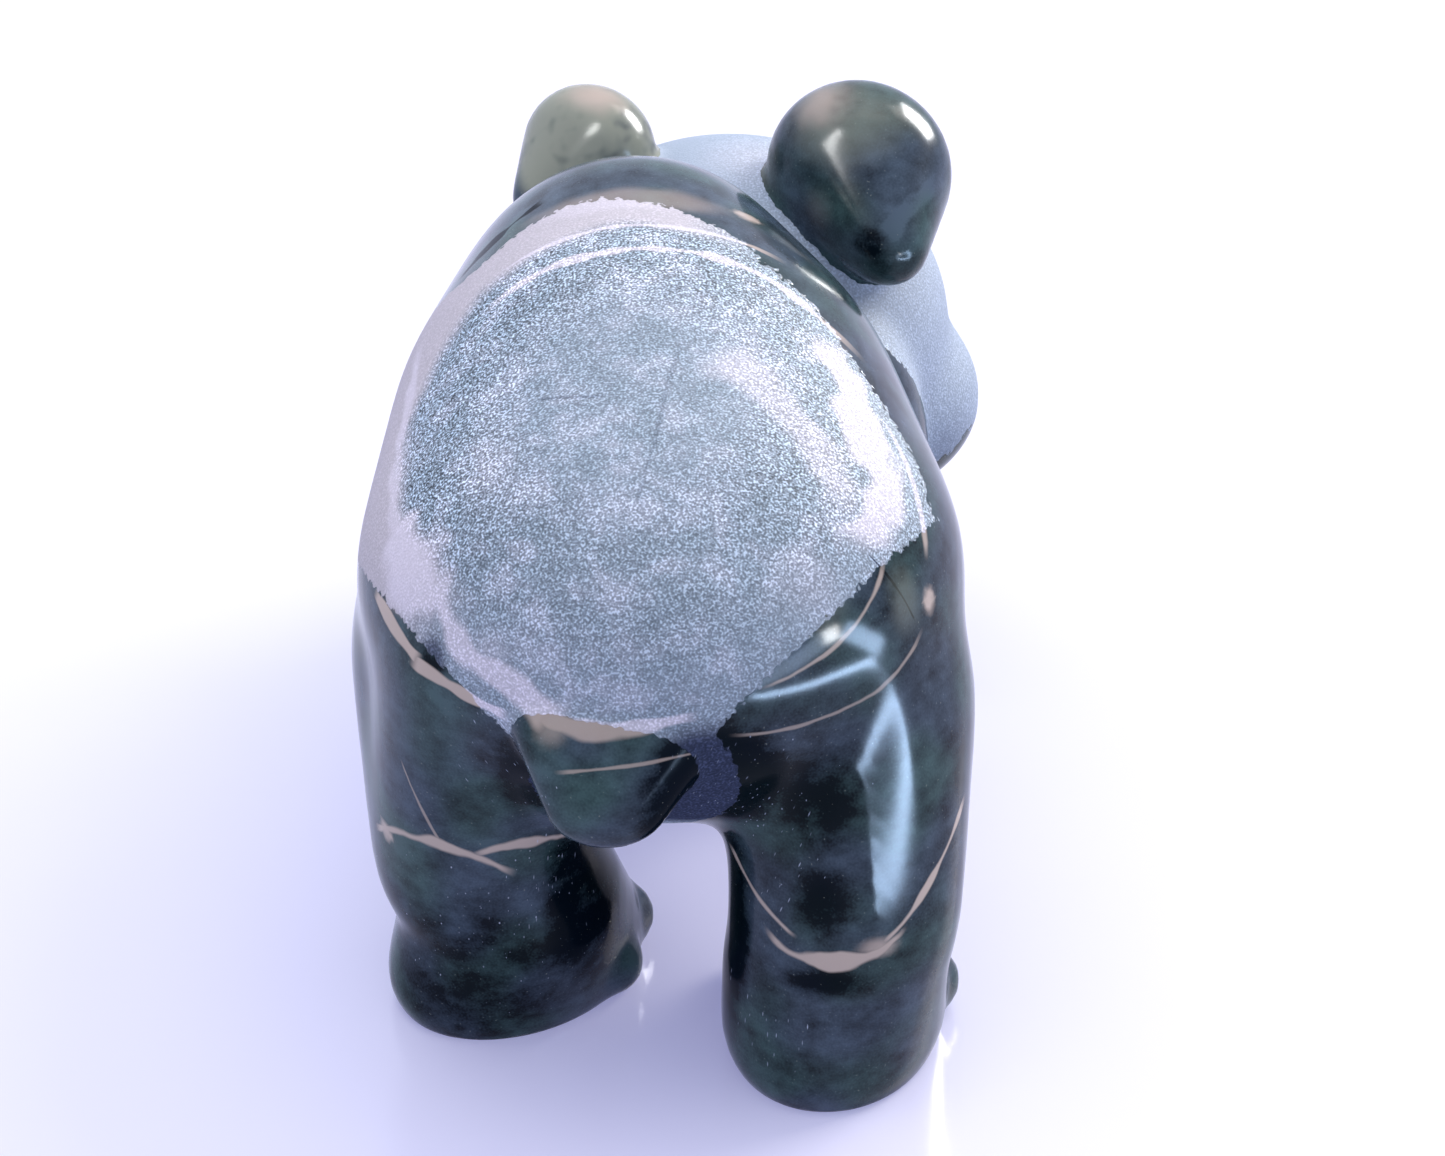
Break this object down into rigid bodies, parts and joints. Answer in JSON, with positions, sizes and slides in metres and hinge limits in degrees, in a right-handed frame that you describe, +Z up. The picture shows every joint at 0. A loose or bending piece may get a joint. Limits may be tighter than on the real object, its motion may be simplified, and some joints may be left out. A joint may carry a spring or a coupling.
{
  "type": "animal carving",
  "caption": "Small solid stone carving of a panda in mid-step with its head turned aside; a shelf or desk ornament that stands on its own feet.",
  "frame": {"origin": "on the ground, under the middle of the carving's box", "axes": "+Y from the head end towards the tail, so the panda faces -Y; +X towards its left side; +Z up"},
  "size_m": [0.0576, 0.1008, 0.0631],
  "materials": {
    "banded_stone": "polished dark green banded stone, frosted pale on the back, the rump and the head"
  },
  "bodies": {
    "root": {"panda_carving": "banded_stone"}
  },
  "joints": []
}
